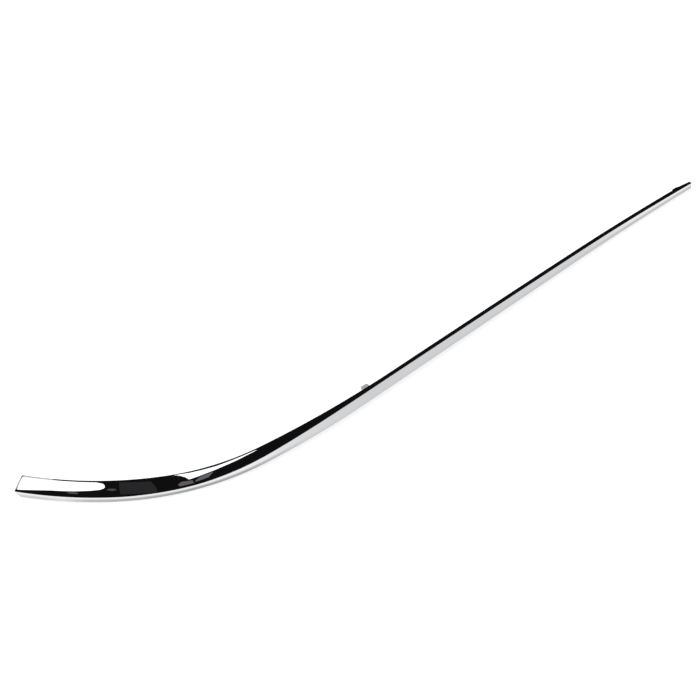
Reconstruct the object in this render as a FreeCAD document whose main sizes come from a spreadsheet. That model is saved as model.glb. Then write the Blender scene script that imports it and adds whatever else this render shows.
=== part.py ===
import FreeCAD, Part
import math
import os

import Sketcher
from FreeCAD import Placement, Rotation, Vector

# Bumper chrome trim: one moulded strip, plated all over.
# It lies as it is stored, top face up, on the bottom edge of its front lip.
# X runs along the straight stretch towards the narrow end, Y points to the rear, Z is up.
# The strip follows one plan line, the foot of the lip, from the wide end to the narrow end.
# A place along that line is its distance in millimetres from the wide end.

sizes = {
    # Plan line: four arcs and one straight run, each tangent to the next
    "endRadius": 366,
    "endAngle": 14.1,
    "kneeRadius": 271,
    "kneeAngle": 33.6,
    "easeRadius": 957,
    "easeAngle": 7.1,
    "runLength": 304,
    "tailRadius": 3700,
    "tailAngle": 2.75,
    # Top flange, from the front of the lip to its rear edge.
    # It narrows from the start of the knee to a little past the start of the run.
    "wideFlange": 21.3,
    "narrowFlange": 4.65,
    "taperOverrun": 42,
    # Front lip, from its foot to the crease.
    # It rises up to the start of the run, and falls towards the narrow end.
    "lowLip": 6.7,
    "deepLip": 16.7,
    "tipLip": 7.4,
    "riseDelay": 60,
    "fallDelay": 28,
    "fallPower": 2.3,
    # Section of the moulding
    "lipWall": 2.2,
    "flangeWall": 2,
    "creaseRound": 0.5,
    "rearRound": 0.7,
    "crownRadius": 110,
    "footTrim": 1,
    # Wide end, cut by one plane to a point on the crease
    "endBack": 0.9,
    "endUndercut": 5.5,
    # Stiffening ribs in the hollow underside
    "ribThickness": 1.4,
    "ribPitch": 44,
    "ribMargin": 24,
    "ribInset": 0.9,
    # Snap hooks under the rear edge
    "hookWidth": 8,
    "hookThickness": 1.6,
    "hookRoot": 3.2,
    "hookReach": 2.6,
    "hookLift": 1.3,
    "barbDepth": 0.9,
    "barbLength": 1.8,
    "barbTip": 0.5,
    # Locating tongue below the flange, where the run starts
    "tongueWidth": 8.5,
    "tongueThickness": 2,
    "tongueRoot": 4,
    "tongueReach": 5.2,
    "tongueDrop": 1.8,
    "tongueDelay": 8.6,
    # Locating ear of the flange near the narrow end, and the narrower flange beyond it
    "earWidth": 12,
    "earReach": 1.7,
    "earMargin": 20.5,
    "tipStep": 1,
}
ribsPerHook = 2
sectionsPerStretch = {"end": 2, "knee": 4, "ease": 3, "run": 6, "tail": 3}
stretches = list(sectionsPerStretch)
cutterSize = 60
floorDepth = 10

doc = FreeCAD.newDocument("bumper_trim")
sheet = doc.addObject("Spreadsheet::Sheet", "Sizes")
cellNames = []


# Puts a number or a formula in the next row and names it
def addCell(name, content):
    cellNames.append(name)
    row = len(cellNames)
    sheet.set(f"A{row}", name)
    sheet.set(f"B{row}", str(content))
    sheet.setAlias(f"B{row}", name)


for name, number in sizes.items():
    addCell(name, number)
for arc in ("end", "knee", "ease", "tail"):
    addCell(f"{arc}Length", f"={arc}Radius * {arc}Angle * pi / 180")
addCell("endStart", 0)
for before, name in zip(stretches, stretches[1:]):
    addCell(f"{name}Start", f"={before}Start + {before}Length")
addCell("wholeLength", "=tailStart + tailLength")
addCell("taperEnd", "=runStart + taperOverrun")
addCell("riseStart", "=kneeStart + riseDelay")
addCell("fallStart", "=kneeStart + fallDelay")
doc.recompute()


# Plan line


# The arcs and the run, as they follow each other from the wide end, the run starting at the origin
def shapeStretches():
    heading = -math.radians(sizes["endAngle"] + sizes["kneeAngle"] + sizes["easeAngle"])
    point = Vector(0, 0, 0)
    shapes = []
    for name, side in (("end", 1), ("knee", 1), ("ease", 1), ("run", 0), ("tail", -1)):
        if name == "run":
            ahead = point + Vector(sizes["runLength"], 0, 0)
            shapes.append(Part.LineSegment(point, ahead))
            runStart = Vector(point)
            point = ahead
            continue
        reach = side * sizes[f"{name}Radius"]
        turn = side * math.radians(sizes[f"{name}Angle"])
        centre = point + Vector(-math.sin(heading), math.cos(heading), 0) * reach
        middle, last = (
            centre + Vector(math.sin(angle), -math.cos(angle), 0) * reach
            for angle in (heading + turn / 2, heading + turn)
        )
        shapes.append(Part.Arc(point, middle, last))
        point = last
        heading += turn
    for shape in shapes:
        shape.translate(-runStart)
    return shapes


def drawPlanLine():
    line = doc.addObject("Sketcher::SketchObject", "plan_line")
    for shape in shapeStretches():
        line.addGeometry(shape, False)
    end, knee, ease, run, tail = range(len(stretches))
    first, last = 1, 2
    origin = (-1, 1)
    line.addConstraint(Sketcher.Constraint("Coincident", run, first, *origin))
    line.addConstraint(Sketcher.Constraint("Horizontal", run))
    line.addConstraint(Sketcher.Constraint("Tangent", end, last, knee, first))
    line.addConstraint(Sketcher.Constraint("Tangent", knee, last, ease, first))
    line.addConstraint(Sketcher.Constraint("Tangent", ease, last, run, first))
    # An arc is drawn anticlockwise, so the tail, which bends the other way, meets the run at its last point
    line.addConstraint(Sketcher.Constraint("Tangent", run, last, tail, last))
    tie(line, "runLength", "DistanceX", run, first, run, last)
    for name, arc in (("end", end), ("knee", knee), ("ease", ease), ("tail", tail)):
        tie(line, f"{name}Radius", "Radius", arc)
        turn = line.addConstraint(Sketcher.Constraint("Angle", arc, math.radians(sizes[f"{name}Angle"])))
        line.setExpression(f"Constraints[{turn}]", f"Sizes.{name}Angle * 1deg")
    return line


# Adds a constraint whose value is a cell of the sheet
def tie(sketch, cell, kind, *places):
    index = sketch.addConstraint(Sketcher.Constraint(kind, *places, float(sheet.get(cell))))
    sketch.setExpression(f"Constraints[{index}]", f"Sizes.{cell}")


planLine = drawPlanLine()
doc.recompute()


# Stands a feature across the plan line at the distance that a cell holds.
# Its own x then points to the front, y up and z back towards the wide end.
def standAcross(feature, cell):
    passed = [name for name in stretches if sheet.get(f"{name}Start") <= sheet.get(cell)]
    name = passed[-1]
    feature.AttachmentSupport = [(planLine, f"Edge{stretches.index(name) + 1}")]
    feature.MapMode = "NormalToEdge"
    feature.setExpression("MapPathParameter", f"(Sizes.{cell} - Sizes.{name}Start) / Sizes.{name}Length")


# Section of the strip


# Formula of a share that leaves 0 and reaches 1 smoothly between two distances
def smoothShare(cell, start, stop):
    share = f"min(1; max(0; ({cell} - {start}) / ({stop} - {start})))"
    return f"({share})^2 * (3 - 2 * {share})"


# Names a place, and the flange's width and the lip's height there
def addPlace(cell, distance):
    addCell(cell, distance)
    taper = smoothShare(cell, "kneeStart", "taperEnd")
    addCell(f"{cell}Flange", f"=wideFlange - (wideFlange - narrowFlange) * {taper}")
    rise = smoothShare(cell, "riseStart", "runStart")
    fall = f"max(0; ({cell} - fallStart) / (wholeLength - fallStart))^fallPower"
    addCell(f"{cell}Lip", f"=lowLip + (deepLip - lowLip) * {rise} - (deepLip - tipLip) * {fall}")


# The plated wall: a lip and a flange that meet in a crease, with a slightly crowned top.
# The lip reaches a little below the floor here, and is cut off level at the end.
def drawWallSection(cell):
    sketch = doc.addObject("Sketcher::SketchObject", f"wall_{cell}")
    standAcross(sketch, cell)
    lip, flange = sheet.get(f"{cell}Lip"), sheet.get(f"{cell}Flange")
    lipWall, flangeWall = sizes["lipWall"], sizes["flangeWall"]
    creaseRound, rearRound = sizes["creaseRound"], sizes["rearRound"]
    crease = Vector(-creaseRound, lip - creaseRound, 0)
    rear = Vector(-flange + rearRound, lip - rearRound, 0)
    crownHalf = (crease.x - rear.x) / 2
    crownDrop = math.sqrt(sizes["crownRadius"] ** 2 - crownHalf**2)
    crown = Vector((crease.x + rear.x) / 2, lip - crownDrop, 0)
    lean = math.asin(crownHalf / sizes["crownRadius"])
    quarter = math.pi / 2
    up = Vector(0, 0, 1)
    corners = [
        Vector(-flange, lip - rearRound, 0),
        Vector(-flange, lip - flangeWall, 0),
        Vector(-lipWall, lip - flangeWall, 0),
        Vector(-lipWall, -sizes["footTrim"], 0),
        Vector(0, -sizes["footTrim"], 0),
        Vector(0, lip - creaseRound, 0),
    ]
    sketch.addGeometry(Part.ArcOfCircle(Part.Circle(crease, up, creaseRound), 0, quarter))
    crownArc = Part.Circle(crown, up, sizes["crownRadius"])
    sketch.addGeometry(Part.ArcOfCircle(crownArc, quarter - lean, quarter + lean))
    sketch.addGeometry(Part.ArcOfCircle(Part.Circle(rear, up, rearRound), quarter, 2 * quarter))
    for start, stop in zip(corners, corners[1:]):
        sketch.addGeometry(Part.LineSegment(start, stop))
    creaseArc, topArc, rearArc, rearFace, underside, lipBack, foot, lipFront = range(8)
    first, last, middle = 1, 2, 3
    origin = (-1, 1)
    for side in range(8):
        following = (side + 1) % 8
        smooth = (side, following) in ((rearArc, rearFace), (lipFront, creaseArc))
        kind = "Tangent" if smooth else "Coincident"
        sketch.addConstraint(Sketcher.Constraint(kind, side, last, following, first))
    sketch.addConstraint(Sketcher.Constraint("PointOnObject", origin[0], origin[1], lipFront))
    for side in (lipFront, lipBack, rearFace):
        sketch.addConstraint(Sketcher.Constraint("Vertical", side))
    for side in (underside, foot):
        sketch.addConstraint(Sketcher.Constraint("Horizontal", side))
    sketch.addConstraint(Sketcher.Constraint("Vertical", creaseArc, last, creaseArc, middle))
    sketch.addConstraint(Sketcher.Constraint("Vertical", rearArc, first, rearArc, middle))
    sketch.addConstraint(Sketcher.Constraint("Horizontal", creaseArc, last, rearArc, first))
    tie(sketch, "creaseRound", "Radius", creaseArc)
    tie(sketch, "crownRadius", "Radius", topArc)
    tie(sketch, "rearRound", "Radius", rearArc)
    tie(sketch, f"{cell}Lip", "DistanceY", *origin, creaseArc, last)
    tie(sketch, f"{cell}Flange", "DistanceX", rearFace, first, *origin)
    tie(sketch, "flangeWall", "DistanceY", rearFace, last, rearArc, first)
    tie(sketch, "lipWall", "DistanceX", lipBack, last, *origin)
    tie(sketch, "footTrim", "DistanceY", lipFront, first, *origin)
    return sketch


stations = []
for name, count in sectionsPerStretch.items():
    for step in range(count):
        stations.append(f"{name}At{step}")
        addPlace(stations[-1], f"={name}Start + {name}Length * {step} / {count}")
stations.append("tipAt")
addPlace("tipAt", "=wholeLength")
doc.recompute()

wall = doc.addObject("Part::Loft", "wall")
wall.Sections = [drawWallSection(cell) for cell in stations]
wall.Solid = True
doc.recompute()


# Ribs, hooks and tongues


# A block that stands across the plan line: its corner nearest the rear, the floor and the narrow end
# lies at (rear, low), and it is centred on its place along the line
def addBlock(name, cell, rear, low, depth, height, width):
    block = doc.addObject("Part::Box", name)
    standAcross(block, cell)
    block.setExpression("Length", depth)
    block.setExpression("Width", height)
    block.setExpression("Height", width)
    block.setExpression("AttachmentOffset.Base.x", rear)
    block.setExpression("AttachmentOffset.Base.y", low)
    block.setExpression("AttachmentOffset.Base.z", f"-({width}) / 2")
    return block


# A rib fills the section behind the lip and under the flange, and is sunk halfway into both
def addRib(cell):
    return addBlock(
        f"rib_{cell}",
        cell,
        rear=f"Sizes.ribInset - Sizes.{cell}Flange",
        low="-Sizes.footTrim",
        depth=f"Sizes.{cell}Flange - Sizes.ribInset - Sizes.lipWall / 2",
        height=f"Sizes.{cell}Lip - Sizes.flangeWall / 2 + Sizes.footTrim",
        width="Sizes.ribThickness",
    )


# A flat hook under the rear edge, and a barb that points down behind it and slopes to the rear
def addHook(cell):
    rear = f"-Sizes.{cell}Flange - Sizes.hookReach"
    plate = addBlock(
        f"hook_{cell}",
        cell,
        rear=rear,
        low="Sizes.hookLift",
        depth="Sizes.hookReach + Sizes.hookRoot",
        height="Sizes.hookThickness",
        width="Sizes.hookWidth",
    )
    barb = doc.addObject("Part::Wedge", f"barb_{cell}")
    standAcross(barb, cell)
    barbSides = {
        "Xmin": "Sizes.barbLength - Sizes.barbTip",
        "Xmax": "Sizes.barbLength",
        "Ymin": "0",
        "Ymax": "Sizes.barbDepth + Sizes.hookThickness / 2",
        "Zmin": "0",
        "Zmax": "Sizes.hookWidth",
        "X2min": "0",
        "X2max": "Sizes.barbLength",
        "Z2min": "0",
        "Z2max": "Sizes.hookWidth",
        "AttachmentOffset.Base.x": rear,
        "AttachmentOffset.Base.y": "Sizes.hookLift - Sizes.barbDepth",
        "AttachmentOffset.Base.z": "-Sizes.hookWidth / 2",
    }
    for side, formula in barbSides.items():
        barb.setExpression(side, formula)
    return [plate, barb]


def addTongue(cell):
    return addBlock(
        "tongue",
        cell,
        rear=f"-Sizes.{cell}Flange - Sizes.tongueReach",
        low=f"Sizes.{cell}Lip - Sizes.tongueDrop - Sizes.tongueThickness",
        depth="Sizes.tongueReach + Sizes.tongueRoot",
        height="Sizes.tongueThickness",
        width="Sizes.tongueWidth",
    )


# The ear lies just below the crown, and is sunk halfway into the flange
def addEar(cell):
    return addBlock(
        "ear",
        cell,
        rear=f"-Sizes.{cell}Flange - Sizes.earReach",
        low=f"Sizes.{cell}Lip - Sizes.flangeWall",
        depth=f"Sizes.earReach + Sizes.{cell}Flange / 2",
        height="Sizes.flangeWall",
        width="Sizes.earWidth",
    )


ribCount = 1 + int((sheet.get("wholeLength") - 2 * sizes["ribMargin"]) // sizes["ribPitch"])
ribSpan = "(wholeLength - 2 * ribMargin)"
ribPlaces = []
for step in range(ribCount):
    ribPlaces.append(f"rib{step}At")
    addPlace(ribPlaces[-1], f"=ribMargin + {ribSpan} * {step} / {ribCount - 1}")
addPlace("tongueAt", "=runStart + tongueDelay")
addPlace("earAt", "=wholeLength - earMargin")
doc.recompute()

pieces = [wall, addTongue("tongueAt"), addEar("earAt")]
for cell in ribPlaces + ["tongueAt"]:
    pieces.append(addRib(cell))
for cell in ribPlaces[1::ribsPerHook]:
    pieces += addHook(cell)
whole = doc.addObject("Part::MultiFuse", "uncut_strip")
whole.Shapes = pieces
doc.recompute()


# Both ends and the floor


# A block whose lower face is the plane through the crease's tip, the flange's rear corner
# and the lip's foot, which the wide end is cut back to
def addEndCutter():
    outward = Vector(-sizes["endBack"] / sizes["wideFlange"], -sizes["endUndercut"] / sizes["lowLip"], 1)
    tip = Placement(Vector(0, sizes["lowLip"], 0), Rotation(Vector(0, 0, 1), outward))
    centring = Placement(Vector(-cutterSize / 2, -cutterSize / 2, 0), Rotation())
    cutter = doc.addObject("Part::Box", "end_cutter")
    cutter.Length = cutter.Width = cutter.Height = cutterSize
    standAcross(cutter, "endStart")
    cutter.AttachmentOffset = tip.multiply(centring)
    return cutter


# The flange beyond the ear loses a narrow step of its rear edge, and the ear is cut off along it
def addTipCutter():
    beyondEar = "(Sizes.earMargin - Sizes.earWidth / 2)"
    cutter = addBlock(
        "tip_cutter",
        "tipAt",
        rear=f"Sizes.tipStep - Sizes.tipAtFlange - {cutterSize}",
        low="0",
        depth=f"{cutterSize}",
        height=f"{cutterSize}",
        width=f"2 * {beyondEar} + Sizes.tipStep / 2",
    )
    return cutter


# All that reaches below the floor is cut off, so that the strip stands level on its lip and ribs
def addFloorCutter():
    cutter = doc.addObject("Part::Box", "floor_cutter")
    cutter.setExpression("Length", "2 * Sizes.wholeLength")
    cutter.setExpression("Width", "2 * Sizes.wholeLength")
    cutter.setExpression("Height", f"{floorDepth} * Sizes.footTrim")
    cutter.setExpression("Placement.Base.x", "-Sizes.wholeLength")
    cutter.setExpression("Placement.Base.y", "-Sizes.wholeLength")
    cutter.setExpression("Placement.Base.z", f"-{floorDepth} * Sizes.footTrim")
    return cutter


trim = whole
for cutter in (addEndCutter(), addTipCutter(), addFloorCutter()):
    cut = doc.addObject("Part::Cut", f"{cutter.Name}_cut")
    cut.Base = trim
    cut.Tool = cutter
    trim = cut
trim.Label = "bumper_trim"
doc.recompute()

# The origin is under the middle of the strip's box, on the floor
box = trim.Shape.optimalBoundingBox(False, False)
trim.Placement = Placement(Vector(-box.Center.x, -box.Center.y, 0), Rotation())
doc.recompute()

for item in doc.Objects:
    if "Invalid" in item.State or "Error" in item.State:
        raise RuntimeError(f"{item.Label} failed: {item.State}")
if trim.Shape.isNull() or not trim.Shape.isValid() or len(trim.Shape.Solids) != 1:
    raise RuntimeError("the strip is not one valid solid")
os.makedirs("parts", exist_ok=True)
trim.Shape.exportStep(f"parts/{trim.Label}.step")
print(trim.Label, trim.Shape.BoundBox)
print("volume", round(trim.Shape.Volume), "faces", len(trim.Shape.Faces))
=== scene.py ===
import math

import bmesh
import bpy
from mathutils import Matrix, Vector


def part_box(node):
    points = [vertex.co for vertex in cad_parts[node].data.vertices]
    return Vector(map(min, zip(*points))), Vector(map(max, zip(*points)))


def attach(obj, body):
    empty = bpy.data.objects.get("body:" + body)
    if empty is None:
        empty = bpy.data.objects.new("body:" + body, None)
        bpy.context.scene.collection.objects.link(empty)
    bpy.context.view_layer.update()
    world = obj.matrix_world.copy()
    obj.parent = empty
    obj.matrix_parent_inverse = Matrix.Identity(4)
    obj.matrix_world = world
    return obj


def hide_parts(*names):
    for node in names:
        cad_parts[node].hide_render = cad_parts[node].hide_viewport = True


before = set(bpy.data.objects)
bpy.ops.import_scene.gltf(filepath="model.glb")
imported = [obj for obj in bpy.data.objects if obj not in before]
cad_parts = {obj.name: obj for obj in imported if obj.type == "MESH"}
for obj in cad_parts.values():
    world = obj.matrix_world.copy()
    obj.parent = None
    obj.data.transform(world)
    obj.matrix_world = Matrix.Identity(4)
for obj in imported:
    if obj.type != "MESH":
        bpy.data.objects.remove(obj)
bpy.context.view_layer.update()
scene = bpy.context.scene
mm = 0.001


# Sockets that maths can be written with, for shapes and for materials


class Wire:
    def __init__(self, bench, socket):
        self.bench = bench
        self.socket = socket

    def maths(self, operation, *others):
        node = self.bench.add("ShaderNodeMath", {"operation": operation}, [self, *others])
        return node[0]

    def __add__(self, other):
        return self.maths("ADD", other)

    def __radd__(self, other):
        return self.maths("ADD", other)

    def __sub__(self, other):
        return self.maths("SUBTRACT", other)

    def __rsub__(self, other):
        return (self * -1).maths("ADD", other)

    def __mul__(self, other):
        return self.maths("MULTIPLY", other)

    def __rmul__(self, other):
        return self.maths("MULTIPLY", other)

    def __truediv__(self, other):
        return self.maths("DIVIDE", other)

    def __pow__(self, other):
        return self.maths("POWER", other)


# A node tree with one method that adds any node: its type, its settings, then its sockets.
# Sockets are a list in their own order, or a dictionary by name or number. A list as a value
# fills one socket that takes many links.
class Bench:
    def __init__(self, tree):
        self.tree = tree

    def add(self, kind, settings=None, sockets=None):
        node = self.tree.nodes.new(kind)
        for name, value in (settings or {}).items():
            setattr(node, name, value)
        given = dict(enumerate(sockets)) if isinstance(sockets, list) else sockets or {}
        for place, value in given.items():
            for each in value if isinstance(value, list) else [value]:
                self.fill(node.inputs[place], each)
        return [Wire(self, socket) for socket in node.outputs if socket.enabled]

    def fill(self, socket, value):
        if isinstance(value, Wire):
            self.tree.links.new(value.socket, socket)
        else:
            socket.default_value = value


def sine(value):
    return value.maths("SINE") if isinstance(value, Wire) else math.sin(value)


def cosine(value):
    return value.maths("COSINE") if isinstance(value, Wire) else math.cos(value)


def smaller(value, limit):
    return value.maths("MINIMUM", limit) if isinstance(value, Wire) else min(value, limit)


def larger(value, limit):
    return value.maths("MAXIMUM", limit) if isinstance(value, Wire) else max(value, limit)


def within(value, low, high):
    return smaller(larger(value, low), high)


def smooth(value, start, stop):
    share = within((value - start) / (stop - start), 0, 1)
    return share * share * (3 - 2 * share)


# The strip's sizes in millimetres and degrees. The tree of nodes takes this first lot as its inputs.
lineSizes = {
    # Plan line of the lip's foot: four arcs and one straight run
    "endRadius": 366,
    "endAngle": 14.1,
    "kneeRadius": 271,
    "kneeAngle": 33.6,
    "easeRadius": 957,
    "easeAngle": 7.1,
    "runLength": 304,
    "tailRadius": 3700,
    "tailAngle": 2.75,
    # Flange and lip along the line
    "wideFlange": 21.3,
    "narrowFlange": 4.65,
    "taperOverrun": 42,
    "lowLip": 6.7,
    "deepLip": 16.67,
    "tipLip": 7.4,
    "riseDelay": 60,
    "fallDelay": 28,
    "crownRadius": 110,
    # Ear of the rear edge near the narrow end, and how much narrower the flange is at that end
    "earWidth": 12,
    "earReach": 1.25,
    "earMargin": 20.5,
    "earSlope": 2.5,
    "earFall": 5,
    "tipStep": 1.1,
    # Places of ribs, hooks and tongue
    "ribMargin": 24,
    "tongueDelay": 8.6,
}
fallPower = 2.3
ribCount = 19
ribsPerHook = 2
stretches = {"end": 1, "knee": 1, "ease": 1, "run": 0, "tail": -1}  # 1 bends left, -1 right


def measured(sizes):
    values = {}
    for name, size in sizes.items():
        values[name] = math.radians(size) if name.endswith("Angle") else size * mm
    return values


# Start and length of each stretch of the plan line, and the whole length
def lineStarts(size):
    starts = {}
    reached = 0
    for name, side in stretches.items():
        length = size[f"{name}Radius"] * size[f"{name}Angle"] if side else size["runLength"]
        starts[name] = (reached, length)
        reached = length + reached
    return starts, reached


# Place on the plan line at a distance from the wide end, and the heading there
def linePlace(size, distance):
    starts = lineStarts(size)[0]
    heading = (size["endAngle"] + size["kneeAngle"] + size["easeAngle"]) * -1
    x = 0
    y = 0
    for name, side in stretches.items():
        start, length = starts[name]
        gone = within(distance - start, 0, length)
        if side == 0:
            x = gone * cosine(heading) + x
            y = gone * sine(heading) + y
            continue
        reach = size[f"{name}Radius"] * side
        turned = gone / reach + heading
        x = reach * (sine(turned) - sine(heading)) + x
        y = reach * (cosine(heading) - cosine(turned)) + y
        heading = turned
    return x, y, heading


# The flange narrows, and has the ear and the narrower tip beyond it
def flangeAt(size, distance):
    starts, whole = lineStarts(size)
    taper = smooth(distance, starts["knee"][0], starts["run"][0] + size["taperOverrun"])
    slope = size["earSlope"]
    first = whole - size["earMargin"] - size["earWidth"] / 2
    last = first + size["earWidth"]
    ear = smooth(distance, first, first + slope) - smooth(distance, last - size["earFall"], last)
    plain = size["wideFlange"] - (size["wideFlange"] - size["narrowFlange"]) * taper
    return plain + size["earReach"] * ear - size["tipStep"] * smooth(distance, last, whole)


# The lip rises along the knee and the easing arc, and falls towards the narrow end
def lipAt(size, distance):
    starts, whole = lineStarts(size)
    low, deep, tip = size["lowLip"], size["deepLip"], size["tipLip"]
    knee = starts["knee"][0]
    rise = smooth(distance, knee + size["riseDelay"], starts["run"][0])
    fallStart = knee + size["fallDelay"]
    fallen = within((distance - fallStart) / (whole - fallStart), 0, 1) ** fallPower
    return low + (deep - low) * rise - (deep - tip) * fallen


# Straight blanks, as wide and high as the strip is at its wide end: x along, y behind the front, z up.
# Each point says how much of the flange's width, the lip's height and the crown it follows.


# The wall's thickness and its rounds, which are the same all along
wallSizes = {
    "lipWall": 2.2,
    "flangeWall": 2,
    "creaseRound": 0.5,
    "rearRound": 0.3,
    "footRound": 0.25,
    "innerRound": 0.6,
    "underRound": 0.25,
    # Wide end, cut by a plane to a point on the crease, with a rounded rear corner
    "endBack": 0.9,
    "endUndercut": 5.5,
    "endCorner": 1.5,
    "endFade": 40,
    "endRound": 0.35,
    # Rows are closer together in the last stretch, where the ear is
    "lastStretch": 32,
}
rows = {"end": 5, "body": 420, "last": 110}
spans = {"foot": 3, "lip": 10, "crease": 8, "crown": 20, "rear": 7}  # Steps of the section's stretches


def quarter(share):
    return math.sin(share * math.pi / 2), math.cos(share * math.pi / 2)


# A point of the wall's section: behind, up, and its shares of flange, lip and crown
def outerPoint(size, span, share):
    rise, fall = quarter(share)
    foot, crease, rear = size["footRound"], size["creaseRound"], size["rearRound"]
    lip, flange = size["lowLip"], size["wideFlange"]
    if span == "foot":
        return (foot - foot * rise, foot - foot * fall, 0, 0, 0)
    if span == "lip":
        return (0, foot + share * (lip - crease - foot), 0, share, 0)
    if span == "crease":
        return (crease - crease * fall, lip - crease + crease * rise, 0, 1, 0)
    if span == "crown":
        half = (flange - crease - rear) / 2
        crown = 1 - (2 * share - 1) ** 2
        up = lip + crown * half**2 / 2 / size["crownRadius"]
        return (crease + 2 * half * share, up, share, 1, crown)
    return (flange - rear + rear * rise, lip - rear + rear * fall, 1, 1, 0)


def innerPoint(size, span, share):
    rise, fall = quarter(share)
    foot, inner, under = size["footRound"], size["innerRound"], size["underRound"]
    wall, top, flange = size["lipWall"], size["lowLip"] - size["flangeWall"], size["wideFlange"]
    if span == "foot":
        return (wall - foot + foot * rise, foot - foot * fall, 0, 0, 0)
    if span == "lip":
        return (wall, foot + share * (top - inner - foot), 0, share, 0)
    if span == "crease":
        return (wall + inner - inner * fall, top - inner + inner * rise, 0, 1, 0)
    if span == "crown":
        return (wall + inner + share * (flange - under - wall - inner), top, share, 1, 0)
    return (flange - under + under * rise, top + under - under * fall, 1, 1, 0)


# Distances of the rows along the strip, closer together on the rounds of both ends
def rowDistances(size, whole):
    edge, last = size["endRound"], size["lastStretch"]
    bodyLength = whole - last - edge
    places = [edge * (1 - quarter(step / rows["end"])[1]) for step in range(rows["end"])]
    places += [edge + (bodyLength - edge) * step / rows["body"] for step in range(rows["body"])]
    places += [bodyLength + last * step / rows["last"] for step in range(rows["last"])]
    places += [whole - edge + edge * quarter(step / rows["end"])[0] for step in range(rows["end"] + 1)]
    return places


# How far the end face lies from the wide end's tip at a place of the section
def endFace(size, behind, up):
    lean = size["endBack"] / size["wideFlange"]
    undercut = size["endUndercut"] / size["lowLip"]
    corner = size["endCorner"]
    into = min(max(behind - size["wideFlange"] + corner, 0), corner)
    rounded = corner - math.sqrt(corner**2 - into**2)
    plane = lean * behind + undercut * (size["lowLip"] - up) + rounded
    return plane * size["endRadius"] / (size["endRadius"] - behind)


shareNames = ("followsFlange", "followsLip", "followsCrown")
blankNumbers = {"wall": 0, "rib": 1, "hook": 2, "tongue": 3}


# A blank with its points' shares, and the number that tells its faces from those of other blanks
def blankObject(name, points, faces, shares, piece):
    mesh = bpy.data.meshes.new(name)
    mesh.from_pydata(points, [], faces)
    for number, shareName in enumerate(shareNames):
        attribute = mesh.attributes.new(shareName, "FLOAT", "POINT")
        attribute.data.foreach_set("value", [float(each[number]) for each in shares])
    attribute = mesh.attributes.new("piece", "FLOAT", "FACE")
    attribute.data.foreach_set("value", [float(piece)] * len(faces))
    blank = bpy.data.objects.new(name, mesh)
    scene.collection.objects.link(blank)
    return blank


# The wall: rings of the section along the strip, closed by a row of faces at each end
def makeWallBlank(size, whole):
    places = [(span, step / count) for span, count in spans.items() for step in range(count)]
    places.append(("rear", 1))
    pairs = [(outerPoint(size, *place), innerPoint(size, *place)) for place in places]
    around = len(pairs) * 2
    points = []
    shares = []
    distances = rowDistances(size, whole)
    for distance in distances:
        edge = size["endRound"]
        short = edge - min(distance, whole - distance, edge)
        inset = (edge - math.sqrt(max(edge**2 - short**2, 0))) / size["flangeWall"]
        fade = max(1 - distance / size["endFade"], 0)
        ring = [(outer, inner, inset) for outer, inner in pairs]
        ring += [(outer, inner, 1 - inset) for outer, inner in reversed(pairs)]
        for outer, inner, across in ring:
            behind, up, *follows = (out + (into - out) * across for out, into in zip(outer, inner))
            points.append((distance + endFace(size, behind, up) * fade, behind, up))
            shares.append(follows)
    faces = []
    bright = []
    for row in range(len(distances) - 1):
        for column in range(around):
            following = (column + 1) % around
            here, ahead = row * around, (row + 1) * around
            faces.append((here + column, ahead + column, ahead + following, here + following))
            bright.append(float(column < len(pairs) - 1))  # The outer faces are the bright ones
    final = (len(distances) - 1) * around
    for column in range(len(pairs) - 1):
        outer, inner = (column, column + 1), (around - 2 - column, around - 1 - column)
        faces.append((outer[0], outer[1], inner[0], inner[1]))
        faces.append(tuple(final + corner for corner in (inner[1], inner[0], outer[1], outer[0])))
        bright += [0.0, 0.0]
    blank = blankObject("wallBlank", points, faces, shares, blankNumbers["wall"])
    blank.data.attributes.new("bright", "FLOAT", "FACE").data.foreach_set("value", bright)
    return blank


bevelFrom = 35  # Degrees between faces, from which a blank's edge is rounded


# A block pulled straight from an outline, with small rounds on its edges if it has any
def prism(outline, pull, edge):
    shape = bmesh.new()
    base = [shape.verts.new(point) for point in outline]
    face = shape.faces.new(base)
    pulled = bmesh.ops.extrude_face_region(shape, geom=[face])
    top = [item for item in pulled["geom"] if isinstance(item, bmesh.types.BMVert)]
    bmesh.ops.translate(shape, vec=pull, verts=top)
    bmesh.ops.recalc_face_normals(shape, faces=shape.faces)
    if edge:
        sharp = [each for each in shape.edges if each.calc_face_angle(0) > math.radians(bevelFrom)]
        bmesh.ops.bevel(shape, geom=sharp, offset=edge, segments=2, profile=0.5, affect="EDGES")
    bmesh.ops.recalc_face_normals(shape, faces=shape.faces)
    shape.verts.index_update()
    points = [tuple(point.co) for point in shape.verts]
    faces = [tuple(point.index for point in face.verts) for face in shape.faces]
    shape.free()
    return points, faces


ribSizes = {"thickness": 1.4, "inset": 0.9, "lift": 0.1}


# A rib reaches from halfway into the lip to near the rear edge, and halfway into the flange
def makeRibBlank(wall):
    size = measured(ribSizes)
    front, rear = wall["lipWall"] / 2, wall["wideFlange"] - size["inset"]
    low, high = size["lift"], wall["lowLip"] - wall["flangeWall"] / 2
    half = size["thickness"] / 2
    outline = [(-half, front, low), (-half, rear, low), (-half, rear, high), (-half, front, high)]
    points, faces = prism(outline, Vector((2 * half, 0, 0)), 0)
    middle = Vector((0, (front + rear) / 2, (low + high) / 2))
    shares = [(y > middle.y, z > middle.z, 0) for x, y, z in points]
    return blankObject("ribBlank", points, faces, shares, blankNumbers["rib"])


hookSizes = {
    "width": 8,
    "root": 3.2,
    "reach": 2.6,
    "lift": 1.3,
    "thickness": 1.6,
    "barbDepth": 0.9,
    "barbLength": 1.8,
    "barbTip": 0.5,
    "edge": 0.15,
}


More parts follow.
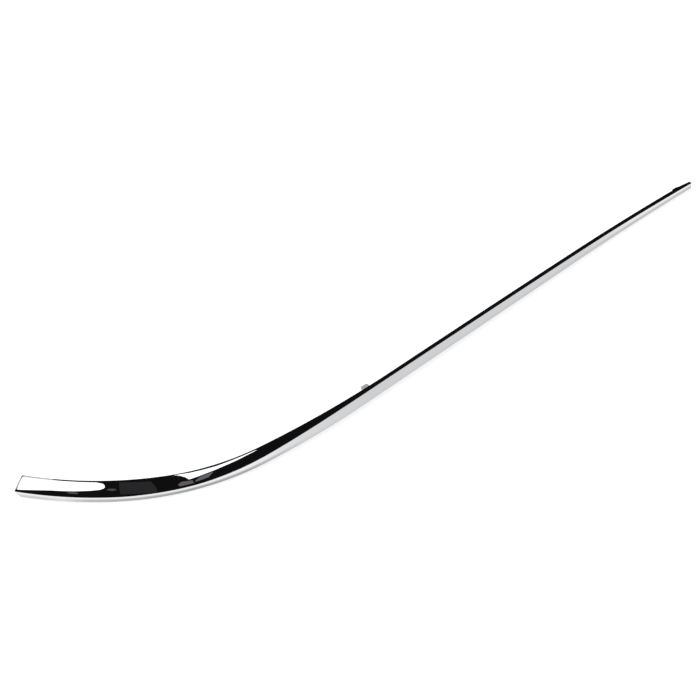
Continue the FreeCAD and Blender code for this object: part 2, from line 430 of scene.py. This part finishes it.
# A flat hook under the rear edge, and a barb that points down behind it and slopes to the rear
def makeHookBlank(wall):
    size = measured(hookSizes)
    low, high = size["lift"], size["lift"] + size["thickness"]
    barbFoot = low - size["barbDepth"]
    barbFront = size["reach"] - size["barbLength"]
    slope = (size["barbLength"] - size["barbTip"]) / (size["barbDepth"] + size["thickness"] / 2)
    side = [
        (-size["root"], low),
        (barbFront, low),
        (barbFront, barbFoot),
        (barbFront + size["barbTip"], barbFoot),
        (barbFront + size["barbTip"] + slope * size["barbDepth"], low),
        (size["reach"], low),
        (size["reach"], high),
        (-size["root"], high),
    ]
    outline = [(-size["width"] / 2, wall["wideFlange"] + rear, up) for rear, up in side]
    points, faces = prism(outline, Vector((size["width"], 0, 0)), size["edge"])
    shares = [(1, 0, 0)] * len(points)
    return blankObject("hookBlank", points, faces, shares, blankNumbers["hook"])


tongueSizes = {
    "width": 8.5,
    "root": 4,
    "reach": 5.2,
    "thickness": 2,
    "drop": 1.8,
    "corner": 1.2,
    "edge": 0.2,
}
cornerSteps = 5


# The tongue lies below the flange, and its rear corners are rounded
def makeTongueBlank(wall):
    size = measured(tongueSizes)
    half, corner = size["width"] / 2, size["corner"]
    rear = wall["wideFlange"]
    low = wall["lowLip"] - size["drop"] - size["thickness"]
    outline = [(-half, rear - size["root"], low), (half, rear - size["root"], low)]
    for side in (1, -1):
        for step in range(cornerSteps + 1):
            share = step / cornerSteps
            rise, fall = quarter(share if side == 1 else 1 - share)
            across = side * (half - corner + corner * fall)
            outline.append((across, rear + size["reach"] - corner + corner * rise, low))
    points, faces = prism(outline, Vector((0, 0, size["thickness"])), size["edge"])
    shares = [(1, 1, 0)] * len(points)
    return blankObject("tongueBlank", points, faces, shares, blankNumbers["tongue"])


# The tree of Geometry Nodes that repeats the ribs and hooks, shapes the blanks and joins them


sharpFrom = 30  # Degrees between faces, from which an edge is shaded as sharp


class StripBench(Bench):
    def __init__(self, tree):
        super().__init__(tree)
        self.identifiers = {}
        tree.interface.new_socket("Geometry", in_out="INPUT", socket_type="NodeSocketGeometry")
        kinds = {name: "Float" for name in [*lineSizes, "roundedEdges", "moveX", "moveY"]}
        kinds |= {"ribs": "Int", "rib": "Object", "hook": "Object", "tongue": "Object"}
        kinds["finish"] = "Material"
        for name, kind in kinds.items():
            item = tree.interface.new_socket(name, in_out="INPUT", socket_type=f"NodeSocket{kind}")
            self.identifiers[name] = item.identifier
        tree.interface.new_socket("Geometry", in_out="OUTPUT", socket_type="NodeSocketGeometry")
        blank, *inputs = self.add("NodeGroupInput")
        self.blank = blank
        self.size = dict(zip(kinds, inputs))

    def repeat(self, name, first, pitch, count):
        line = self.add(
            "GeometryNodeMeshLine",
            {"mode": "OFFSET"},
            {"Count": count, "Start Location": self.alongX(first), "Offset": self.alongX(pitch)},
        )[0]
        source = {"Object": self.size[name]}
        piece = self.add("GeometryNodeObjectInfo", {"transform_space": "ORIGINAL"}, source)[-1]
        placed = self.add("GeometryNodeInstanceOnPoints", None, {"Points": line, "Instance": piece})[0]
        return self.add("GeometryNodeRealizeInstances", None, [placed])[0]

    def alongX(self, distance):
        return self.add("ShaderNodeCombineXYZ", None, [distance, 0.0, 0.0])[0]

    def share(self, name):
        return self.add("GeometryNodeInputNamedAttribute", {"data_type": "FLOAT"}, {"Name": name})[0]

    # Moves each point from the straight blank to its place in the bent strip
    def shape(self, mesh):
        size = self.size
        place = self.add("GeometryNodeInputPosition")[0]
        distance, behind, up = self.add("ShaderNodeSeparateXYZ", None, [place])
        wider = flangeAt(size, distance) - size["wideFlange"]
        half = (size["wideFlange"] - size["roundedEdges"]) / 2
        halfNow = half + wider / 2
        crown = (halfNow * halfNow - half * half) / (2 * size["crownRadius"])
        higher = lipAt(size, distance) - size["lowLip"]
        behind = behind + self.share("followsFlange") * wider
        up = up + self.share("followsLip") * higher + self.share("followsCrown") * crown
        x, y, heading = linePlace(size, distance)
        x = x - behind * sine(heading) + size["moveX"]
        y = y + behind * cosine(heading) + size["moveY"]
        moved = self.add("ShaderNodeCombineXYZ", None, [x, y, up])[0]
        return self.add("GeometryNodeSetPosition", None, {"Geometry": mesh, "Position": moved})[0]

    # The faces that come from one kind of blank
    def only(self, mesh, number):
        settings = {"data_type": "FLOAT", "operation": "EQUAL"}
        sockets = {"A": self.share("piece"), "B": float(number), "Epsilon": 0.1}
        here = self.add("FunctionNodeCompare", settings, sockets)[0]
        return self.add("GeometryNodeSeparateGeometry", {"domain": "FACE"}, [mesh, here])[0]

    # Smooth faces, with the sharp edges left sharp
    def shade(self, mesh):
        settings = {"data_type": "FLOAT", "operation": "LESS_THAN"}
        angle = self.add("GeometryNodeInputMeshEdgeAngle")[0]
        gentle = self.add("FunctionNodeCompare", settings, {"A": angle, "B": math.radians(sharpFrom)})[0]
        smoothed = self.add("GeometryNodeSetShadeSmooth", {"domain": "FACE"}, {"Geometry": mesh})[0]
        edges = {"Geometry": smoothed, "Shade Smooth": gentle}
        return self.add("GeometryNodeSetShadeSmooth", {"domain": "EDGE"}, edges)[0]

    def build(self):
        size = self.size
        starts, whole = lineStarts(size)
        firstRib, gaps = size["ribMargin"], size["ribs"] - 1
        pitch = (whole - firstRib * 2) / gaps
        tongueAt = starts["run"][0] + size["tongueDelay"]
        blanks = [
            self.blank,
            self.repeat("rib", firstRib, pitch, size["ribs"]),
            self.repeat("rib", tongueAt, 0.0, 1),
            self.repeat("hook", firstRib + pitch, pitch * ribsPerHook, gaps / ribsPerHook),
            self.repeat("tongue", tongueAt, 0.0, 1),
        ]
        joined = self.add("GeometryNodeJoinGeometry", None, {"Geometry": blanks})[0]
        bent = self.shape(joined)
        pieces = [self.only(bent, number) for number in blankNumbers.values()]
        union = {"operation": "UNION", "solver": "EXACT"}
        solid = self.add("GeometryNodeMeshBoolean", union, {"Mesh 2": pieces})[0]
        plain = self.add("GeometryNodeRealizeInstances", None, [self.shade(solid)])[0]
        finished = {"Geometry": plain, "Material": size["finish"]}
        done = self.add("GeometryNodeSetMaterial", None, finished)[0]
        self.add("NodeGroupOutput", None, [done])


# How far the bent strip is moved, so that its narrow end and its run lie where the frame has them
def frameMove(size, whole):
    low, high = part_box("bumper_trim")
    x, y, heading = linePlace(size, whole)
    tip = size["narrowFlange"] - size["tipStep"]
    return high.x - (x - math.sin(heading) * tip), low.y - y


def newMaterial(name):
    material = bpy.data.materials.new(name)
    material.use_nodes = True
    material.node_tree.nodes.clear()
    return material, Bench(material.node_tree)


# An attribute of the mesh, as a number
def meshNumber(bench, name):
    settings = {"attribute_name": name, "attribute_type": "GEOMETRY"}
    return bench.add("ShaderNodeAttribute", settings)[2]


def mixColours(bench, share, first, second):
    return bench.add("ShaderNodeMix", {"data_type": "RGBA"}, {0: share, 6: first, 7: second})[0]


# Chrome plating: bright on the show faces, satin on the faces behind
plating = {
    "bright": (0.83, 0.835, 0.845, 1),
    "tint": (0.80, 0.81, 0.83, 1),
    "satin": (0.72, 0.73, 0.74, 1),
    "brightRoughness": 0.006,
    "brightSpread": 0.006,
    "satinRoughness": 0.34,
    "satinSpread": 0.12,
    "satinMetal": 0.45,
    "waveStrength": 0.35,
    "waveHeight": 0.02,
}
platingNoise = {"cloud": (14, 3), "grain": (900, 2), "wave": (55, 1)}  # Scale and detail


def makePlating():
    material, bench = newMaterial("chromePlating")
    place = bench.add("ShaderNodeTexCoord")[3]  # Object coordinates
    bright = meshNumber(bench, "bright")
    noise = {}
    for name, (scale, detail) in platingNoise.items():
        sockets = {"Vector": place, "Scale": scale, "Detail": detail}
        noise[name] = bench.add("ShaderNodeTexNoise", None, sockets)[0]
    shine = mixColours(bench, noise["cloud"], plating["bright"], plating["tint"])
    colour = mixColours(bench, bright, plating["satin"], shine)
    brightRough = plating["brightRoughness"] + plating["brightSpread"] * noise["cloud"]
    satinRough = plating["satinRoughness"] + plating["satinSpread"] * noise["grain"]
    roughness = satinRough + (brightRough - satinRough) * bright
    metal = plating["satinMetal"] + (1 - plating["satinMetal"]) * bright
    waves = {"Strength": plating["waveStrength"], "Distance": plating["waveHeight"] * mm}
    waves["Height"] = noise["wave"] * (1 - bright)
    relief = bench.add("ShaderNodeBump", None, waves)[0]
    shader = bench.add(
        "ShaderNodeBsdfPrincipled",
        None,
        {"Base Color": colour, "Metallic": metal, "Roughness": roughness, "Normal": relief},
    )[0]
    bench.add("ShaderNodeOutputMaterial", None, [shader])
    return material


def makeStrip():
    size = measured(lineSizes)
    whole = lineStarts(size)[1]
    wall = {**size, **measured(wallSizes)}
    blanks = {"rib": makeRibBlank(wall), "hook": makeHookBlank(wall), "tongue": makeTongueBlank(wall)}
    strip = makeWallBlank(wall, whole)
    strip.name = "chrome_strip"
    tree = bpy.data.node_groups.new("trimStrip", "GeometryNodeTree")
    bench = StripBench(tree)
    bench.build()
    print("tree:", len(tree.nodes), "nodes")
    moveX, moveY = frameMove(size, whole)
    modifier = strip.modifiers.new("trimStrip", "NODES")
    modifier.node_group = tree
    values = {
        **size,
        **blanks,
        "roundedEdges": wall["creaseRound"] + wall["rearRound"],
        "moveX": moveX,
        "moveY": moveY,
        "ribs": ribCount,
        "finish": makePlating(),
    }
    for name, value in values.items():
        modifier[bench.identifiers[name]] = value
    bpy.context.view_layer.update()
    graph = bpy.context.evaluated_depsgraph_get()
    solid = bpy.data.meshes.new_from_object(strip.evaluated_get(graph))
    strip.modifiers.remove(modifier)
    strip.data = solid
    solid.name = "chrome_strip"
    for blank in blanks.values():
        bpy.data.objects.remove(blank)
    print("strip:", len(solid.vertices), "points,", len(solid.polygons), "faces")
    return strip


strip = makeStrip()
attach(strip, "root")
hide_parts("bumper_trim")


# Studio: a pale floor, and a dark drape, panels, a card and softboxes that only the plating mirrors. The
# panels and the card paint highlights, glints and the lip's light and shade into the plating.


# The way out at a turn and a rise in degrees, and the ways across and up that are square to it
def facing(turnAngle, riseAngle):
    turn, rise = math.radians(turnAngle), math.radians(riseAngle)
    flat = math.cos(rise)
    outward = Vector((math.cos(turn) * flat, math.sin(turn) * flat, math.sin(rise)))
    across = Vector((-math.sin(turn), math.cos(turn), 0))
    return outward, across, outward.cross(across)


# Whether a ray is the camera's own, a mirrored one, or one that goes through
def rayKinds(bench):
    path = bench.add("ShaderNodeLightPath")
    return path[0], path[3], path[6]


def glow(name, colour, strength):
    material, bench = newMaterial(name)
    light = bench.add("ShaderNodeEmission", None, [(*colour, 1), strength])[0]
    bench.add("ShaderNodeOutputMaterial", None, [light])
    return material


# A piece of the studio, seen only in the plating unless it says otherwise
def stagePiece(name, points, faces, material, mirroredOnly=True):
    mesh = bpy.data.meshes.new(name)
    mesh.from_pydata(points, [], faces)
    mesh.materials.append(material)
    piece = bpy.data.objects.new(name, mesh)
    scene.collection.objects.link(piece)
    if mirroredOnly:
        piece.visible_camera = False
        piece.visible_diffuse = False
        piece.visible_shadow = False
        piece.visible_transmission = False
        piece.visible_volume_scatter = False
    return piece


# Width in metres, drop below the strip in millimetres
floorLook = {"width": 60, "drop": 0.2, "colour": 0.8, "lift": 0.5, "mirrored": 0.74}


def makeFloor():
    material, bench = newMaterial("paleFloor")
    seen, mirrored, through = rayKinds(bench)
    grey = (floorLook["colour"],) * 3
    matt = bench.add("ShaderNodeBsdfDiffuse", None, [(*grey, 1)])[0]
    lift = bench.add("ShaderNodeEmission", None, [(1, 1, 1, 1), seen * floorLook["lift"]])[0]
    lit = bench.add("ShaderNodeAddShader", None, [matt, lift])[0]
    card = bench.add("ShaderNodeEmission", None, [(1, 1, 1, 1), floorLook["mirrored"]])[0]
    look = bench.add("ShaderNodeMixShader", None, [larger(mirrored, through), lit, card])[0]
    bench.add("ShaderNodeOutputMaterial", None, [look])
    half, low = floorLook["width"] / 2, -floorLook["drop"] * mm
    corners = [(-half, -half, low), (half, -half, low), (half, half, low), (-half, half, low)]
    return stagePiece("floor", corners, [(0, 1, 2, 3)], material, mirroredOnly=False)


# A card on the floor runs along the front of the lip, which mirrors it. It glows only in the plating,
# so it paints the lip's reflection. Its sizes are in millimetres: near, change and far are distances in
# front of the lip.
# The levels are at places along the strip, one beside the lip's foot and one farther out. The lower
# level beside the foot paints shade on the lip's lower part, and the levels along the strip paint the
# lip lighter or darker there.
lipCard = {"near": 0.4, "change": (2.4, 4.4), "far": 60, "step": 5, "lift": 0.1}
paintedLipLevels = [
    (-10, 0.85, 1.1),
    (20, 0.72, 1.1),
    (45, 0.9, 1.05),
    (70, 0.6, 1.05),
    (170, 0.42, 1.08),
    (225, 0.48, 1.05),
    (290, 0.76, 0.84),
    (380, 0.73, 0.75),
    (700, 0.68, 0.78),
    (760, 0.64, 0.98),
    (860, 0.66, 1.08),
]


# The two levels of the painted lip reflection at a place along the strip
def paintedLipLevelAt(place):
    for (start, *first), (stop, *second) in zip(paintedLipLevels, paintedLipLevels[1:]):
        if place <= stop:
            share = (place - start) / (stop - start)
            return [low + (high - low) * share for low, high in zip(first, second)]
    return paintedLipLevels[-1][1:]


def makeLipReflectionCard():
    size = measured(lineSizes)
    whole = lineStarts(size)[1]
    moveX, moveY = frameMove(size, whole)
    begin, end = paintedLipLevels[0][0], paintedLipLevels[-1][0]
    count = round((end - begin) / lipCard["step"])
    fronts = (lipCard["near"], *lipCard["change"], lipCard["far"])
    points = []
    levels = []
    for number in range(count + 1):
        place = begin + (end - begin) * number / count
        beyond = (place - within(place, 0, whole / mm)) * mm
        x, y, heading = linePlace(size, place * mm)
        foot, outside = paintedLipLevelAt(place)
        for front, level in zip(fronts, (foot, foot, outside, outside)):
            across = x + beyond * math.cos(heading) + front * mm * math.sin(heading) + moveX
            along = y + beyond * math.sin(heading) - front * mm * math.cos(heading) + moveY
            points.append((across, along, lipCard["lift"] * mm))
            levels.append(level)
    width = len(fronts)
    faces = []
    for number in range(count):
        for column in range(width - 1):
            here = number * width + column
            faces.append((here, here + 1, here + width + 1, here + width))
    # The card's glow is painted reflection for the lip: darker beside the foot, lighter farther out, and
    # changing along the strip.
    material, bench = newMaterial("lipCard")
    light = bench.add("ShaderNodeEmission", None, [meshNumber(bench, "level"), 1.0])[0]
    bench.add("ShaderNodeOutputMaterial", None, [light])
    card = stagePiece("lipCard", points, faces, material)
    card.data.attributes.new("level", "FLOAT", "POINT").data.foreach_set("value", levels)


# A dark dome above the horizon, in metres and degrees
drape = {"radius": 4, "lowest": 2, "rings": 8, "sides": 32, "level": 0.006}


def makeDrape():
    points = []
    faces = []
    rings, sides = drape["rings"], drape["sides"]
    for ring in range(rings + 1):
        rise = drape["lowest"] + (90 - drape["lowest"]) * ring / rings
        points += [facing(360 * side / sides, rise)[0] * drape["radius"] for side in range(sides)]
    for ring in range(rings):
        for side in range(sides):
            following = (side + 1) % sides
            first, second = ring * sides, (ring + 1) * sides
            faces.append((first + side, first + following, second + following, second + side))
    return stagePiece("drape", points, faces, glow("darkDrape", (1, 0.97, 1), drape["level"]))


# Panels on one plane behind the strip, square to the camera's sight as the wide end's top mirrors it.
# They glow only in the plating. Their outlines are shaped so that they paint highlights, outlines and
# coloured glints onto the strip as this camera sees it.
# The plane's centre and reach are in metres, and corners are millimetres across and up the plane.
panelPlane = {"centre": (-0.30008, -0.00212, 0.01), "turn": 56, "rise": 45, "reach": 0.5}
panels = {
    "endSoftbox": {
        "colour": (1, 1, 1),
        "level": 1.5,
        "corners": [
            (43, -48), (38, -29), (38, -8), (40, 17), (43, 33), (49, 48), (60, 57),
            (83, 67), (114, 69), (136, 79), (149, 86), (159, 92), (178, 97), (131, -62), (92, -59),
        ],
    },
    "outlinePanel": {
        "colour": (1, 1, 1),
        "level": 0.6,
        "corners": [(84, -61), (131, -63), (125, -84), (84, -82)],
    },
    "endOutline": {
        "colour": (1, 1, 1),
        "level": 0.62,
        "corners": [(134, -62), (169, 56), (320, 56), (280, -84), (128, -84)],
    },
    "kneeSoftbox": {
        "colour": (1, 1, 1),
        "level": 1.5,
        "corners": [
            (-32, -48), (-36, -13), (-40, 18), (-44, 48), (-46, 44), (-50, 33), (-60, 20), (-68, 16),
            (-77, 10), (-88, 9), (-82, 2), (-71, -3), (-59, -8), (-49, -12), (-41, -23), (-36, -32),
        ],
    },
    "warmPanel": {
        "colour": (1, 0.86, 0.9),
        "level": 0.15,
        "corners": [(-42, 57), (-43, 84), (-46, 108), (-53, 106), (-48, 70)],
    },
    "coolPanel": {
        "colour": (0.84, 0.92, 1),
        "level": 0.16,
        "corners": [(-50, 46), (-51, 84), (-53, 97), (-60, 88), (-56, 40)],
    },
    "dimPanel": {
        "colour": (1, 0.95, 1),
        "level": 0.025,
        "corners": [(20, -40), (-13, -15), (-21, 83), (-23, 134), (29, 116)],
    },
    "brownPanel": {
        "colour": (1, 0.86, 0.8),
        "level": 0.09,
        "corners": [(42, 52), (37, 38), (31, 40), (29, 57), (35, 69)],
    },
    "spotPanel": {
        "colour": (1, 1, 1),
        "level": 0.12,
        "corners": [(95, 83), (94, 95), (84, 99), (81, 87), (86, 80)],
    },
}


# Each panel is a glowing card that lights nothing and shows only in the plating, as a painted highlight
# or glint.
def makeHighlightPanels():
    outward, across, up = facing(panelPlane["turn"], panelPlane["rise"])
    centre = Vector(panelPlane["centre"]) + outward * panelPlane["reach"]
    for name, look in panels.items():
        points = [centre + across * (x * mm) + up * (y * mm) for x, y in look["corners"]]
        stagePiece(name, points, [tuple(range(len(points)))], glow(name, look["colour"], look["level"]))


# Softboxes round about, for the other sides of the strip, all as far out.
# Each has its turn and rise in degrees, its width and height in metres, and its level.
softboxReach = 2.6
roundSoftboxes = {
    "frontLeft": (238, 24, 0.8, 0.6, 1.15),
    "frontRight": (264, 24, 0.8, 0.6, 1.15),
    "sideRight": (350, 26, 0.6, 1, 1.15),
    "sideLeft": (165, 24, 0.7, 0.8, 1.15),
    "rearLeft": (112, 18, 0.8, 0.5, 1.15),
    "overhead": (70, 88, 0.5, 0.6, 0.45),
}


def makeSoftboxes():
    corners = ((-0.5, -0.5), (0.5, -0.5), (0.5, 0.5), (-0.5, 0.5))
    for name, (turn, rise, width, height, level) in roundSoftboxes.items():
        outward, across, up = facing(turn, rise)
        centre = outward * softboxReach
        points = [centre + across * (width * x) + up * (height * y) for x, y in corners]
        stagePiece(name, points, [(0, 1, 2, 3)], glow(name, (1, 1, 1), level))


lighting = {"world": 0.72, "sun": 0.75, "sunSpread": 60, "sunTilt": (-25, -12, 0)}


def makeLight():
    world = bpy.data.worlds.new("studio")
    scene.world = world
    world.use_nodes = True
    world.node_tree.nodes.clear()
    bench = Bench(world.node_tree)
    seen, mirrored, through = rayKinds(bench)
    shown = larger(larger(seen, mirrored), through)
    strength = lighting["world"] + (1 - lighting["world"]) * shown
    background = bench.add("ShaderNodeBackground", None, [(1, 1, 1, 1), strength])[0]
    bench.add("ShaderNodeOutputWorld", None, [background])
    lamp = bpy.data.lights.new("softSun", "SUN")
    lamp.energy = lighting["sun"]
    lamp.angle = math.radians(lighting["sunSpread"])
    sun = bpy.data.objects.new("softSun", lamp)
    sun.rotation_euler = [math.radians(tilt) for tilt in lighting["sunTilt"]]
    sun.visible_glossy = False
    scene.collection.objects.link(sun)


# The camera looks down at the strip from the front left: aim and distance in metres, lens in millimetres
cameraPlace = {
    "aim": (-0.04272, -0.01171, 0.00653),
    "turn": -132.85,
    "rise": 45,
    "distance": 2.2,
    "lens": 113.14,
    "sensor": 36,
}


def makeCamera():
    back = facing(cameraPlace["turn"], cameraPlace["rise"])[0]
    data = bpy.data.cameras.new("camera")
    data.lens = cameraPlace["lens"]
    data.sensor_width = cameraPlace["sensor"]
    camera = bpy.data.objects.new("camera", data)
    camera.location = Vector(cameraPlace["aim"]) + back * cameraPlace["distance"]
    camera.rotation_euler = (-back).to_track_quat("-Z", "Y").to_euler()
    scene.collection.objects.link(camera)
    scene.camera = camera


makeFloor()
makeLipReflectionCard()
makeDrape()
makeHighlightPanels()
makeSoftboxes()
makeLight()
makeCamera()
scene.view_settings.view_transform = "Standard"
print("studio:", len(panels), "panels,", len(roundSoftboxes), "softboxes")
